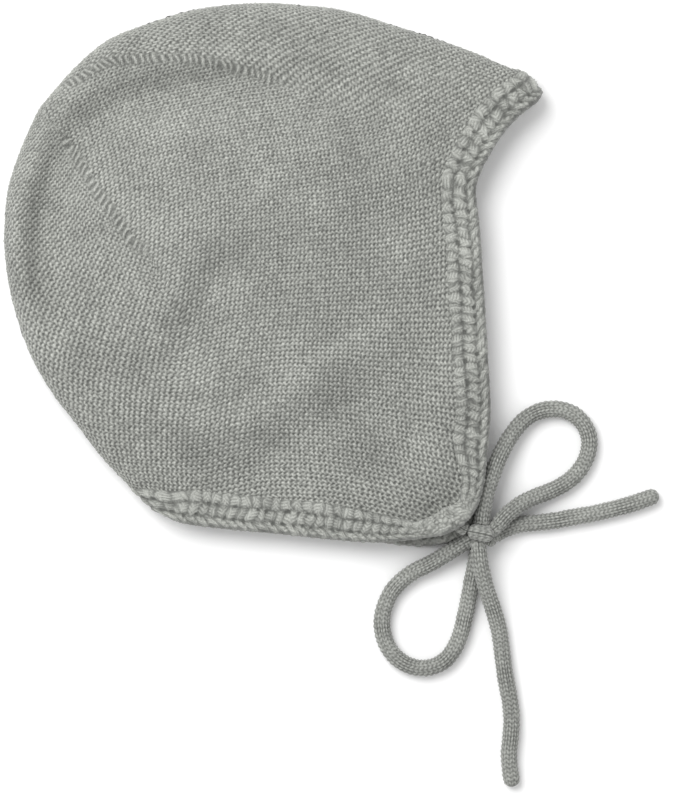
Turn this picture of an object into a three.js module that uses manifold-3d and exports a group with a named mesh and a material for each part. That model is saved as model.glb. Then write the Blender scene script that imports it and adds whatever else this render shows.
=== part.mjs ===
// A knitted baby bonnet with a crochet border and two knitted ties, folded down its middle and lying
// on its side with the ties in a bow. Millimetres, +Z up. The far layer lies on the surface at Z = 0,
// the near layer is puffed above it, and the origin is under the middle of the bonnet without its
// ties. +X points the way the face looks and +Y to the crown.
import * as THREE from 'three';
import { mergeVertices } from 'three/addons/utils/BufferGeometryUtils.js';
import Module from 'manifold-3d';

// Driving sizes
const bonnetLength = 173; // back of the head to the tip of the peak
const bonnetHeight = 172; // neck edge to crown
const knitWall = 2.2; // knitted fabric
const edgingWidth = 11; // crochet border
const edgingThickness = 3.2;
const edgingProud = 0.5; // how far the border's face stands over the knit's
const seamGap = 0.4; // clearance between the knit and its border, and between lengths of border
const foldSlack = 0.8; // what is added to that clearance where both turn over the fold
const foldHeight = 6; // middle of the folded edge above the surface
const nearRoll = 13; // how far in from the fold the near layer's rounded edge reaches
const nearRise = 9; // how far that rounded edge climbs
const farRoll = 7; // how far in from the fold the far layer comes down to the surface
const puffRise = 11; // how much higher the middle of the near layer stands
const puffReach = 62; // how far in from an edge the puff takes to reach its full height
const edgeDrop = 4; // how far the near layer's open edge sinks, at most
const edgeReach = 30; // how far in from the open edge that sinking ends
const cornerRoll = 2.4; // how much the near tie corner curls up and thickens
const cordDiameter = 5.2; // knitted tie cord
const leadDiameter = 4.6; // the tie where it is drawn tight
const knotWidth = 9.2;
const knotDepth = 8.2;
const knotHeight = 8.8;
const knotMiddle = { x: 65.8, y: -84.4, z: 6.2 };

// How finely the pieces are divided
const nearColumns = 12;
const farColumns = 8;
const sectionStep = 6; // length of open edge between two sections of the knit and of its border
const rollStations = [0, 0.12, 0.3, 0.56, 0.9]; // shares of nearRoll, closer together round the fold
const cordSides = 10;
const cordStep = 5.4;
const lineSamples = 420;

// The fold from the tip of the peak over the crown to the back of the neck. Columns are shares of
// bonnetLength from the back and of bonnetHeight from the neck.
const foldRows = [
  { along: 1.0, up: 0.835 }, // tip of the peak
  { along: 0.965, up: 0.872 },
  { along: 0.93, up: 0.882 },
  { along: 0.88, up: 0.904 },
  { along: 0.821, up: 0.927 },
  { along: 0.732, up: 0.956 },
  { along: 0.621, up: 0.987 },
  { along: 0.49, up: 1.0 }, // top of the crown
  { along: 0.353, up: 0.989 },
  { along: 0.274, up: 0.966 },
  { along: 0.192, up: 0.931 },
  { along: 0.116, up: 0.866 },
  { along: 0.1, up: 0.846 }, // small step where the crown meets the back
  { along: 0.062, up: 0.797 },
  { along: 0.03, up: 0.727 },
  { along: 0.007, up: 0.651 },
  { along: 0.0, up: 0.577 }, // furthest back
  { along: 0.004, up: 0.505 },
  { along: 0.018, up: 0.437 },
  { along: 0.046, up: 0.364 },
  { along: 0.089, up: 0.292 },
  { along: 0.133, up: 0.232 },
  { along: 0.192, up: 0.158 },
  { along: 0.239, up: 0.112 },
  { along: 0.258, up: 0.086 },
  { along: 0.276, up: 0.054 }, // back of the neck
];

// The open edge of the near layer from the tip of the peak down the face, round the tie corner and
// along the neck. drop is a share of edgeDrop, width of edgingWidth and roll of cornerRoll.
const nearEdgeRows = [
  { along: 1.0, up: 0.835, drop: 0.2, width: 1.0, roll: 0 }, // tip of the peak
  { along: 0.988, up: 0.822, drop: 0.2, width: 1.0, roll: 0 },
  { along: 0.954, up: 0.797, drop: 0.2, width: 1.0, roll: 0 },
  { along: 0.922, up: 0.762, drop: 0.2, width: 1.0, roll: 0 },
  { along: 0.898, up: 0.725, drop: 0.2, width: 1.0, roll: 0 },
  { along: 0.88, up: 0.686, drop: 0.2, width: 1.0, roll: 0 },
  { along: 0.874, up: 0.652, drop: 0.3, width: 1.0, roll: 0 },
  { along: 0.88, up: 0.593, drop: 0.3, width: 1.0, roll: 0 },
  { along: 0.887, up: 0.491, drop: 0.3, width: 1.0, roll: 0 }, // cheek
  { along: 0.896, up: 0.359, drop: 0.3, width: 1.0, roll: 0 },
  { along: 0.904, up: 0.243, drop: 0.3, width: 1.0, roll: 0 },
  { along: 0.896, up: 0.178, drop: 0.3, width: 1.0, roll: 0 },
  { along: 0.88, up: 0.117, drop: 0.2, width: 0.95, roll: 0.3 },
  { along: 0.856, up: 0.071, drop: 0.2, width: 0.82, roll: 0.9 },
  { along: 0.813, up: 0.038, drop: 0.3, width: 0.78, roll: 1.0 }, // tie corner, curled up
  { along: 0.754, up: 0.014, drop: 0.5, width: 0.86, roll: 0.5 },
  { along: 0.68, up: 0.001, drop: 0.8, width: 0.96, roll: 0 },
  { along: 0.603, up: 0.006, drop: 1.0, width: 1.0, roll: 0 }, // neck
  { along: 0.51, up: 0.016, drop: 1.0, width: 1.0, roll: 0 },
  { along: 0.403, up: 0.026, drop: 1.0, width: 1.0, roll: 0 },
  { along: 0.331, up: 0.036, drop: 1.0, width: 1.0, roll: 0 },
  { along: 0.276, up: 0.054, drop: 1.0, width: 1.0, roll: 0 }, // back of the neck
];

// Where the far layer's open edge isn't under the near layer's: its tie corner lies flat and points
// to the knot. Rows are named by their place in nearEdgeRows, with shares as there.
const farCornerRows = [
  { row: 12, along: 0.886, up: 0.113 },
  { row: 13, along: 0.873, up: 0.061 },
  { row: 14, along: 0.843, up: 0.021 }, // tie corner
  { row: 15, along: 0.782, up: 0.002 },
];

const cornerShare = 0.665; // share of the open edge at which the face's border meets the neck's
const fanShare = 0.06; // share of the open edge over which the border turns across the fold

// Soft hollows in the near layer. Middle and reach are shares of bonnetLength and bonnetHeight,
// turn is in degrees from +X, and depth is a share of puffRise.
const hollows = [
  { along: 0.36, up: 0.46, reach: 0.16, across: 0.08, turn: 20, depth: 0.16 },
  { along: 0.52, up: 0.21, reach: 0.17, across: 0.07, turn: -18, depth: 0.2 },
  { along: 0.2, up: 0.25, reach: 0.15, across: 0.06, turn: -48, depth: 0.14 },
  { along: 0.78, up: 0.45, reach: 0.16, across: 0.06, turn: 80, depth: 0.14 },
  { along: 0.62, up: 0.32, reach: 0.14, across: 0.09, turn: 30, depth: -0.12 },
  { along: 0.6, up: 0.8, reach: 0.2, across: 0.05, turn: 4, depth: -0.1 },
];

// The hollow line that runs just inside the fold at the back of the head. from, to and full are
// shares of the fold; inset and reach are shares of nearRoll; depth is a share of nearRise.
const backCrease = { from: 0.42, full: 0.58, to: 0.78, inset: 0.78, reach: 0.34, depth: 0.22 };

// Outline of the border's section. across is a share of its width from the knit outwards, depth a
// share of its thickness below its face, and groove the same but only where nothing presses it flat.
const edgingSection = [
  { across: 0.0, depth: 0.42, groove: 0 },
  { across: 0.1, depth: 0.02, groove: 0 },
  { across: 0.3, depth: 0, groove: 0.2 },
  { across: 0.46, depth: 0, groove: 0 },
  { across: 0.64, depth: 0, groove: 0.22 },
  { across: 0.82, depth: 0, groove: 0 },
  { across: 0.95, depth: 0.14, groove: 0 },
  { across: 1.0, depth: 0.52, groove: 0 },
  { across: 0.93, depth: 1.0, groove: 0 },
  { across: 0.26, depth: 1.0, groove: 0 },
];

// The way of the tie through the knot, from its middle: over the top and down on the far side.
const knotWrap = [
  { x: -4.2, y: 1.9, z: 3.5 },
  { x: -2.3, y: 1.3, z: 3.9 },
  { x: 0, y: 0.6, z: 4.0 },
  { x: 2.2, y: -0.5, z: 3.3 },
  { x: 3.7, y: -1.8, z: 1.2 },
  { x: 3.4, y: -3.0, z: -0.6 },
];

// Routes of the free cords, as chosen points in millimetres.
const cordRoutes = {
  upper_loop: [
    [66.3, -80.2, 7.9], [66.7, -76.5, 8.6], [67.7, -71.0, 8.6], [69.6, -65.3, 7.7], [71.5, -60.2, 6.6],
    [74.1, -55.0, 5.4], [77.3, -50.2, 4.2], [80.8, -46.7, 3.3], [85.0, -44.5, 2.8], [89.4, -43.8, 2.7],
    [93.9, -44.5, 2.7], [97.4, -46.7, 2.7], [100.0, -50.2, 2.7], [101.0, -54.7, 2.7], [100.0, -59.5, 2.7],
    [97.1, -64.3, 2.7], [93.0, -67.8, 2.7], [87.8, -70.4, 3.0], [82.7, -72.3, 4.2], [77.9, -74.9, 5.8],
    [74.4, -77.7, 6.9], [71.4, -81.1, 7.5],
  ],
  lower_loop: [
    [61.5, -86.3, 5.3], [57.8, -88.6, 4.9], [53.6, -91.2, 4.4], [49.1, -93.8, 3.7], [44.6, -96.0, 3.1],
    [40.8, -98.9, 2.8], [37.6, -102.4, 2.7], [35.4, -106.9, 2.7], [34.4, -111.7, 2.7], [35.0, -116.8, 2.7],
    [37.0, -121.3, 2.7], [40.5, -124.8, 2.7], [45.0, -126.7, 2.7], [49.8, -126.7, 2.7], [54.2, -124.8, 2.7],
    [57.4, -121.0, 2.7], [59.7, -115.8, 2.7], [61.0, -110.4, 2.7], [62.2, -105.0, 2.7], [63.2, -99.5, 2.7],
    [64.2, -94.4, 2.7], [65.2, -88.8, 2.7],
  ],
  right_tail: [
    [70.9, -84.0, 2.7], [74.2, -82.3, 2.7], [77.6, -81.1, 2.7], [80.8, -80.6, 2.7], [84.2, -80.3, 2.7],
    [87.7, -79.9, 2.7], [91.2, -79.4, 2.7], [94.7, -78.7, 2.7], [98.4, -78.1, 2.7], [102.1, -77.4, 2.7],
    [105.8, -76.6, 2.7], [109.4, -75.7, 2.7], [113.1, -74.7, 2.7], [116.9, -73.5, 2.7], [120.2, -72.3, 2.7],
    [123.2, -71.2, 2.7],
  ],
  lower_tail: [
    [65.4, -88.9, 8.3], [65.6, -91.9, 8.5], [66.1, -94.7, 8.3], [66.9, -98.0, 7.5], [67.8, -101.4, 6.4],
    [69.1, -105.1, 5.1], [70.4, -109.0, 3.9], [71.6, -113.2, 3.1], [72.5, -117.9, 2.7], [73.1, -123.0, 2.7],
    [73.8, -128.3, 2.7], [74.8, -133.8, 2.7], [75.7, -138.9, 2.7], [76.0, -144.0, 2.7], [75.7, -149.1, 2.7],
    [75.2, -154.2, 2.7], [75.4, -158.7, 2.7], [76.0, -162.6, 2.7], [76.3, -165.1, 2.7],
  ],
};
const leadRoute = [
  [56.1, -78.9, 12.3], [57.3, -80.4, 11.2], [58.8, -81.6, 10.2], [60.2, -82.3, 9.7],
];

const knitMaterial = new THREE.MeshStandardMaterial({ color: 0x95978f, roughness: 0.95, metalness: 0 });
const edgingMaterial = new THREE.MeshStandardMaterial({ color: 0x999a93, roughness: 0.95, metalness: 0 });
const cordMaterial = new THREE.MeshStandardMaterial({ color: 0x9a9c95, roughness: 0.92, metalness: 0 });

const clamp01 = (value) => Math.min(1, Math.max(0, value));
const smooth = (value) => clamp01(value) ** 2 * (3 - 2 * clamp01(value));
const quarterArc = (value) => Math.sqrt(1 - (1 - clamp01(value)) ** 2);

// A smooth line in the flat, through the points that a table's rows give.
class FlatLine {
  constructor(rows) {
    this.rows = rows;
    const points = rows.map((row) => new THREE.Vector3(
      (row.along - 0.5) * bonnetLength,
      (row.up - 0.5) * bonnetHeight,
      0,
    ));
    this.curve = new THREE.CatmullRomCurve3(points);
    this.curve.arcLengthDivisions = 4 * lineSamples;
    this.length = this.curve.getLength();
    this.samples = this.curve.getSpacedPoints(lineSamples);
  }

  at(share) {
    return this.curve.getPointAt(clamp01(share));
  }

  // The way across the line, to the right of its run: into the bonnet along the open edge.
  inward(share) {
    const run = this.curve.getTangentAt(clamp01(share));
    return new THREE.Vector3(run.y, -run.x, 0);
  }

  // A column of the table, read between its rows.
  column(name, share) {
    const place = this.curve.getUtoTmapping(clamp01(share)) * (this.rows.length - 1);
    const row = Math.min(Math.floor(place), this.rows.length - 2);
    return THREE.MathUtils.lerp(this.rows[row][name], this.rows[row + 1][name], place - row);
  }

  // How far a point is from the line between two shares of it, and the share at the nearest place.
  nearest(point, from = 0, to = 1) {
    const best = { distance: Infinity, share: from };
    const onSegment = new THREE.Vector3();
    const segment = new THREE.Line3();
    for (let i = Math.floor(from * lineSamples); i < Math.ceil(to * lineSamples); i += 1) {
      segment.set(this.samples[i], this.samples[i + 1]);
      const part = segment.closestPointToPointParameter(point, true);
      segment.at(part, onSegment);
      const distance = onSegment.distanceTo(point);
      if (distance < best.distance) {
        best.distance = distance;
        best.share = (i + part) / lineSamples;
      }
    }
    return best;
  }
}

const farEdgeRows = nearEdgeRows.map((row, index) => {
  const corner = farCornerRows.find((candidate) => candidate.row === index);
  return corner ? { ...row, along: corner.along, up: corner.up, width: 1 } : row;
});
const fold = new FlatLine(foldRows);
const openEdge = { near: new FlatLine(nearEdgeRows), far: new FlatLine(farEdgeRows) };

// How far a point in the flat is from the fold. The fold itself is read as exactly no distance.
function distanceFromFold(point) {
  const touching = 0.01;
  const distance = fold.nearest(point).distance;
  return distance < touching ? 0 : distance;
}

function hollowDepth(point) {
  return hollows.reduce((total, hollow) => {
    const turn = THREE.MathUtils.degToRad(hollow.turn);
    const x = point.x - (hollow.along - 0.5) * bonnetLength;
    const y = point.y - (hollow.up - 0.5) * bonnetHeight;
    const lengthwise = (x * Math.cos(turn) + y * Math.sin(turn)) / (hollow.reach * bonnetLength);
    const crosswise = (y * Math.cos(turn) - x * Math.sin(turn)) / (hollow.across * bonnetHeight);
    return total + hollow.depth * puffRise * Math.exp(-(lengthwise ** 2) - crosswise ** 2);
  }, 0);
}

function creaseDepth(foldShare, fromFold) {
  const start = smooth((foldShare - backCrease.from) / (backCrease.full - backCrease.from));
  const end = smooth((backCrease.to - foldShare) / (backCrease.to - backCrease.full));
  const offset = (fromFold / nearRoll - backCrease.inset) / backCrease.reach;
  return backCrease.depth * nearRise * start * end * Math.exp(-(offset ** 2));
}

// Height of the near layer's face over a point in the flat.
function nearHeight(point) {
  const fromFold = distanceFromFold(point);
  const foldShare = fold.nearest(point).share;
  const roll = quarterArc(fromFold / nearRoll);
  const fromFace = openEdge.near.nearest(point, 0, cornerShare).distance;
  const fromNeck = openEdge.near.nearest(point, cornerShare, 1).distance;
  const puff = [fromFold, fromFace, fromNeck].reduce((all, far) => all * smooth(far / puffReach), 1);
  const edge = openEdge.near.nearest(point);
  const sinking = 1 - smooth(edge.distance / edgeReach);
  const drop = edgeDrop * openEdge.near.column('drop', edge.share) * sinking;
  const dents = hollowDepth(point) + creaseDepth(foldShare, fromFold);
  return foldHeight + (nearRise - drop - dents) * roll + puffRise * puff;
}

// Height of the far layer's face, which is pressed flat where it rests.
function farHeight(point) {
  return foldHeight * (1 - quarterArc(distanceFromFold(point) / farRoll));
}

function onLayer(side, point) {
  const height = side === 'near' ? nearHeight(point) : farHeight(point);
  return new THREE.Vector3(point.x, point.y, height);
}

// Share of the fold at which a strip of the given width crosses it, at the peak or at the neck.
function foldCrossing(width, atNeck) {
  return atNeck ? 1 - width / fold.length : width / fold.length;
}

// A point in the flat at a distance inside the open edge. Near the fold the strip's cross lines turn
// until the last one lies along the fold.
function insideEdge(side, share, width) {
  const line = openEdge[side];
  const edgePoint = line.at(share);
  const square = edgePoint.clone().addScaledVector(line.inward(share), width);
  const atNeck = share > 0.5;
  const shifted = fold.at(foldCrossing(width, atNeck)).add(edgePoint).sub(line.at(atNeck ? 1 : 0));
  const fromEnd = atNeck ? 1 - share : share;
  return shifted.lerp(square, smooth(fromEnd / fanShare));
}

function borderWidth(side, share) {
  return edgingWidth * openEdge[side].column('width', share);
}

// A point of the border, from its inner side (across 0) to its outer side (across 1).
function borderPoint(side, share, across) {
  const width = borderWidth(side, share);
  const inner = insideEdge(side, share, width);
  const outer = openEdge[side].at(share);
  const atNeck = share > 0.5;
  const crossing = foldCrossing(width, atNeck);
  const end = atNeck ? 1 : 0;
  const onFold = fold.at(THREE.MathUtils.lerp(crossing, end, across));
  const straight = fold.at(crossing).lerp(fold.at(end), across);
  const fromEnd = atNeck ? 1 - share : share;
  const bulge = onFold.sub(straight).multiplyScalar(1 - smooth(fromEnd / fanShare));
  return onLayer(side, inner.lerp(outer, across).add(bulge));
}

// Outward normals of a grid of points, row by row. A row that has shrunk to one point takes the
// normal that the next row has where it crosses the fold.
function gridNormals(grid, foldColumn) {
  const lastRow = grid.length - 1;
  const normals = grid.map((row, i) => row.map((point, j) => {
    const before = grid[Math.max(i - 1, 0)][j];
    const after = grid[Math.min(i + 1, lastRow)][j];
    const left = row[Math.max(j - 1, 0)];
    const right = row[Math.min(j + 1, row.length - 1)];
    const along = after.clone().sub(before);
    const across = right.clone().sub(left);
    return across.cross(along).normalize();
  }));
  if (foldColumn !== undefined) {
    normals[0] = normals[0].map(() => normals[1][foldColumn].clone());
    normals[lastRow] = normals[lastRow].map(() => normals[lastRow - 1][foldColumn].clone());
  }
  return normals;
}

function solidGeometry(points, triangles) {
  const geometry = new THREE.BufferGeometry();
  geometry.setAttribute('position', new THREE.Float32BufferAttribute(points.flatMap((p) => p.toArray()), 3));
  geometry.setIndex(triangles.flat());
  const welded = mergeVertices(geometry, 1e-4);
  const index = welded.index.array;
  const kept = [];
  for (let i = 0; i < index.length; i += 3) {
    const [a, b, c] = [index[i], index[i + 1], index[i + 2]];
    if (a !== b && b !== c && c !== a) {
      kept.push(a, b, c);
    }
  }
  welded.setIndex(kept);
  welded.computeVertexNormals();
  return welded;
}

// A sheet of even thickness: the grid is its outer face, and its inner face lies a wall further in.
function sheetGeometry(grid, normals, wall) {
  const columns = grid[0].length;
  const outer = grid.flat();
  const inner = grid.flatMap((row, i) => row.map((point, j) => (
    point.clone().addScaledVector(normals[i][j], -wall)
  )));
  const triangles = [];
  const quad = (a, b, c, d) => triangles.push([a, b, c], [a, c, d]);
  const last = columns - 1;
  for (let i = 0; i < grid.length - 1; i += 1) {
    const here = i * columns;
    const next = here + columns;
    for (let j = 0; j < last; j += 1) {
      quad(here + j, here + j + 1, next + j + 1, next + j);
      const under = outer.length;
      quad(under + next + j, under + next + j + 1, under + here + j + 1, under + here + j);
    }
    quad(here, next, outer.length + next, outer.length + here);
    quad(next + last, here + last, outer.length + here + last, outer.length + next + last);
  }
  return solidGeometry([...outer, ...inner], triangles);
}

// Shares of the open edge at which the knit and its border have sections, from the fold to the tie
// corner. They are closer together where the border goes round the fold.
function sectionShares(foldShare, tieShare) {
  const length = openEdge.near.length;
  const run = Math.abs(tieShare - foldShare);
  const turning = rollStations.map((part) => (part * nearRoll) / length);
  const rest = run - turning.at(-1);
  const steps = Math.ceil((rest * length) / sectionStep);
  const even = Array.from({ length: steps }, (_, k) => turning.at(-1) + (rest * (k + 1)) / steps);
  return [...turning, ...even].map((part) => foldShare + Math.sign(tieShare - foldShare) * part);
}

function knitGeometry() {
  const slack = (share) => foldSlack * (1 - smooth(Math.min(share, 1 - share) / fanShare));
  const insetWidth = (side, share) => borderWidth(side, share) + seamGap + slack(share);
  const start = foldCrossing(insetWidth('near', 0), false);
  const end = foldCrossing(insetWidth('near', 1), true);
  const shares = [...faceShares, ...neckShares.slice(0, -1).reverse()];
  const grid = shares.map((share) => {
    const atFold = fold.at(THREE.MathUtils.lerp(start, end, share));
    const row = [];
    for (let j = -nearColumns; j <= farColumns; j += 1) {
      const side = j <= 0 ? 'near' : 'far';
      const columns = j <= 0 ? nearColumns : farColumns;
      const rim = insideEdge(side, share, insetWidth(side, share));
      const crowding = 1 + smooth(atFold.distanceTo(rim) / (2 * nearRoll));
      row.push(onLayer(side, atFold.clone().lerp(rim, Math.abs(j / columns) ** crowding)));
    }
    return row;
  });
  return sheetGeometry(grid, gridNormals(grid, nearColumns), knitWall);
}

// One length of border: from the near tie corner to the fold, and back on the far layer. shares run
// from the fold to the tie corner.
function borderGeometry(shares) {
  const stations = (side) => shares.map((share) => ({ side, share }));
  const places = [...stations('near').reverse(), ...stations('far').slice(1)];
  const grid = places.map(({ side, share }) => (
    edgingSection.map(({ across }) => borderPoint(side, share, across))
  ));
  const flat = gridNormals(places.map(({ side, share }) => (
    [0, 0.25, 0.5, 0.75, 1].map((across) => borderPoint(side, share, across))
  )));
  const outwards = shares[0] === 0 ? 1 : -1;
  const sections = places.map(({ side, share }, i) => edgingSection.map((row, k) => {
    const normal = flat[i][Math.round(row.across * 4)].clone().multiplyScalar(outwards);
    const free = Math.max(0, normal.z);
    const curl = cornerRoll * openEdge[side].column('roll', share) * free;
    const thickness = edgingThickness + curl;
    const depth = (row.depth + row.groove * free) * thickness;
    return grid[i][k].clone().addScaledVector(normal, edgingProud * free + curl - depth);
  }));
  return loftGeometry(sections, outwards);
}

// A closed solid through sections with the same number of points, with a flat cap at each end.
function loftGeometry(sections, outwards) {
  const count = sections[0].length;
  const points = sections.flat();
  const triangles = [];
  const add = (a, b, c) => triangles.push(outwards > 0 ? [a, b, c] : [a, c, b]);
  for (let i = 0; i < sections.length - 1; i += 1) {
    for (let k = 0; k < count; k += 1) {
      const here = i * count + k;
      const beside = i * count + ((k + 1) % count);
      add(here, beside, beside + count);
      add(here, beside + count, here + count);
    }
  }
  [0, sections.length - 1].forEach((i) => {
    const middle = new THREE.Vector3();
    sections[i].forEach((point) => middle.addScaledVector(point, 1 / count));
    points.push(middle);
    for (let k = 0; k < count; k += 1) {
      const here = i * count + k;
      const beside = i * count + ((k + 1) % count);
      if (i === 0) {
        add(points.length - 1, beside, here);
      } else {
        add(points.length - 1, here, beside);
      }
    }
  });
  return solidGeometry(points, triangles);
}

function cordGeometry(route, diameter, step) {
  const curve = new THREE.CatmullRomCurve3(route.map((point) => new THREE.Vector3(...point)));
  const outline = new THREE.Shape();
  for (let k = 0; k < cordSides; k += 1) {
    const angle = (2 * Math.PI * k) / cordSides;
    const x = (Math.cos(angle) * diameter) / 2;
    const y = (Math.sin(angle) * diameter) / 2;
    if (k === 0) {
      outline.moveTo(x, y);
    } else {
      outline.lineTo(x, y);
    }
  }
  return new THREE.ExtrudeGeometry(outline, {
    steps: Math.max(1, Math.ceil(curve.getLength() / step)),
    extrudePath: curve,
  });
}

const wasm = await Module();
wasm.setup();

function toManifold(geometry) {
  const bare = geometry.clone();
  bare.deleteAttribute('normal');
  bare.deleteAttribute('uv');
  const welded = mergeVertices(bare, 1e-4);
  return new wasm.Manifold(new wasm.Mesh({
    numProp: 3,
    vertProperties: new Float32Array(welded.attributes.position.array),
    triVerts: new Uint32Array(welded.index.array),
  }));
}

function fromManifold(solid) {
  const mesh = solid.getMesh();
  const geometry = new THREE.BufferGeometry();
  geometry.setAttribute('position', new THREE.BufferAttribute(new Float32Array(mesh.vertProperties), 3));
  geometry.setIndex(new THREE.BufferAttribute(new Uint32Array(mesh.triVerts), 1));
  geometry.computeVertexNormals();
  return geometry;
}

// The knot is a tight ball of cord with the tie wrapped over it.
function knotGeometry() {
  const core = new THREE.SphereGeometry(0.5, 16, 10);
  core.rotateX(Math.PI / 2);
  core.scale(knotWidth, knotDepth, knotHeight);
  const wrap = cordGeometry(knotWrap.map(({ x, y, z }) => [x, y, z]), leadDiameter, leadDiameter / 2);
  return fromManifold(toManifold(core).add(toManifold(wrap)));
}

function namedMesh(name, geometry, material) {
  const mesh = new THREE.Mesh(geometry, material);
  mesh.name = name;
  return mesh;
}

// The two lengths of border stop a seam's clearance short of each other at the tie corners.
const cornerGap = seamGap / openEdge.near.length;
const faceShares = sectionShares(0, cornerShare - cornerGap);
const neckShares = sectionShares(1, cornerShare + cornerGap);

const bonnet = new THREE.Group();
bonnet.add(namedMesh('knit_body', knitGeometry(), knitMaterial));
bonnet.add(namedMesh('face_edging', borderGeometry(faceShares), edgingMaterial));
bonnet.add(namedMesh('neck_edging', borderGeometry(neckShares), edgingMaterial));

const ties = new THREE.Group();
const knot = namedMesh('tie_knot', knotGeometry(), cordMaterial);
knot.position.set(knotMiddle.x, knotMiddle.y, knotMiddle.z);
ties.add(knot);
ties.add(namedMesh('near_lead', cordGeometry(leadRoute, leadDiameter, leadDiameter / 2), cordMaterial));
Object.entries(cordRoutes).forEach(([name, route]) => {
  ties.add(namedMesh(name, cordGeometry(route, cordDiameter, cordStep), cordMaterial));
});

const baby_bonnet = new THREE.Group();
baby_bonnet.add(bonnet, ties);

export default baby_bonnet;
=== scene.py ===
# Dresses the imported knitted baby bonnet: the knitted cloth with its stitches, the crochet border and
# the knitted ties, on a white surface seen from straight above. Sizes are in millimetres.
import math

import bpy
import numpy as np
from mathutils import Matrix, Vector


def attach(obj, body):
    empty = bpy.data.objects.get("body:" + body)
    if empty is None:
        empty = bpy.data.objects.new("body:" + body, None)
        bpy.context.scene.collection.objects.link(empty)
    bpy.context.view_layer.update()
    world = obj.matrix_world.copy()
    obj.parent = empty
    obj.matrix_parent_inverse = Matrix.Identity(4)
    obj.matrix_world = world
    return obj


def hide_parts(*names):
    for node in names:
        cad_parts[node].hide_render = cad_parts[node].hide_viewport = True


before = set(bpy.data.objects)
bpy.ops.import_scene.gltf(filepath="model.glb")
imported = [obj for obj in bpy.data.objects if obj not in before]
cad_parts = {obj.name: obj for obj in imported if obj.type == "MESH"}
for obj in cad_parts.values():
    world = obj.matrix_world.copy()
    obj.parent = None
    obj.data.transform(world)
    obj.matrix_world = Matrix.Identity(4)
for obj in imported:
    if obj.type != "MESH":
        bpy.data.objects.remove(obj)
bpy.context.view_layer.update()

MM = 0.001

# The bonnet's sizes, as the CAD has them
BONNET_LENGTH = 173.0
BONNET_HEIGHT = 172.0
KNIT_WALL = 2.2
EDGING_WIDTH = 11.0
EDGING_THICKNESS = 3.2
EDGING_PROUD = 0.5
FOLD_HEIGHT = 6.0
NEAR_RISE = 9.0
FAR_ROLL = 7.0
PUFF_RISE = 11.0
PUFF_REACH = 62.0
EDGE_DROP = 4.0
EDGE_REACH = 30.0
CORD_DIAMETER = 5.2
LEAD_DIAMETER = 4.6
CORNER_SHARE = 0.665
FAN_SHARE = 0.06
KNOT_MIDDLE = np.array([65.8, -84.4, 6.2])

# The fold's round and the curl of the near corner, tighter and thicker than in the CAD, and how far
# the far corner is lifted
NEAR_ROLL = 9.0
CORNER_ROLL = 3.2
FAR_CORNER_LIFT = 3.2
FOLD_ARC = 1.2  # mean height of the fold's two rounds, over FOLD_HEIGHT

# The fold from the tip of the peak over the crown to the back of the neck: share of the length from
# the back, and share of the height from the neck
FOLD_ROWS = [
    (1, 0.835), (0.965, 0.872), (0.93, 0.882), (0.88, 0.904), (0.821, 0.927), (0.732, 0.956),
    (0.621, 0.987), (0.49, 1), (0.353, 0.989), (0.274, 0.966), (0.192, 0.931), (0.116, 0.866),
    (0.1, 0.846), (0.062, 0.797), (0.03, 0.727), (0.007, 0.651), (0, 0.577), (0.004, 0.505),
    (0.017, 0.436), (0.042, 0.361), (0.082, 0.287), (0.126, 0.226), (0.185, 0.151), (0.229, 0.104),
    (0.25, 0.08), (0.276, 0.054),
]

# The near layer's open edge from the peak down the face, round the tie corner, which curls out over
# the start of the ties, and along the neck: the same two shares, then shares of the edge's drop, the
# border's width and the corner's roll
NEAR_EDGE_ROWS = [
    (1, 0.835, 0.2, 1, 0), (0.988, 0.822, 0.2, 1, 0), (0.954, 0.797, 0.2, 1, 0), (0.922, 0.762, 0.2, 1, 0),
    (0.898, 0.725, 0.2, 1, 0), (0.878, 0.686, 0.2, 1, 0), (0.869, 0.652, 0.3, 1, 0),
    (0.875, 0.593, 0.3, 1, 0), (0.882, 0.491, 0.3, 1, 0), (0.89, 0.359, 0.3, 1, 0),
    (0.896, 0.243, 0.3, 1, 0), (0.891, 0.178, 0.3, 1, 0), (0.884, 0.108, 0.2, 0.6, 0.15),
    (0.868, 0.058, 0.2, 0.52, 0.6), (0.832, 0.022, 0.3, 0.72, 1), (0.766, 0.007, 0.5, 0.46, 0.45),
    (0.68, 0.001, 0.8, 0.84, 0), (0.603, 0.006, 1, 1, 0), (0.51, 0.016, 1, 1, 0), (0.403, 0.026, 1, 1, 0),
    (0.331, 0.036, 1, 1, 0), (0.276, 0.054, 1, 1, 0),
]

# Where the far layer's open edge differs from that, by place in NEAR_EDGE_ROWS
FAR_CORNER_ROWS = {
    12: (0.886, 0.113, 0.2, 1, 0.3), 13: (0.875, 0.055, 0.2, 1, 0.9), 14: (0.848, 0.012, 0.3, 1, 1),
    15: (0.788, -0.007, 0.5, 1, 0.5), 16: (0.68, 0.001, 0.8, 0.96, 0),
}

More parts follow.
